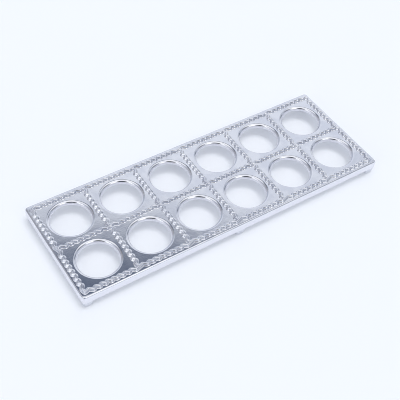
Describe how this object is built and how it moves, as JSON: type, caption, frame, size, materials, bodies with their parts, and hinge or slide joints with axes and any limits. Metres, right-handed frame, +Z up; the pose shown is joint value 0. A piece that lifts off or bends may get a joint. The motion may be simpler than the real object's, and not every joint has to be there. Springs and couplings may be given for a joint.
{
  "type": "ravioli mold",
  "caption": "Long cast aluminium plate on short feet, with round rimmed holes set between raised zigzag cutting ridges, for pressing and cutting ravioli.",
  "frame": {"origin": "on the table, under the middle of the plate", "axes": "+X along the plate, +Y across it, +Z up"},
  "size_m": [0.3032, 0.1084, 0.0166],
  "materials": {
    "cast_aluminium": "polished casting, smooth satin sheen"
  },
  "bodies": {
    "root": {"mold_plate": "cast_aluminium"}
  },
  "joints": []
}
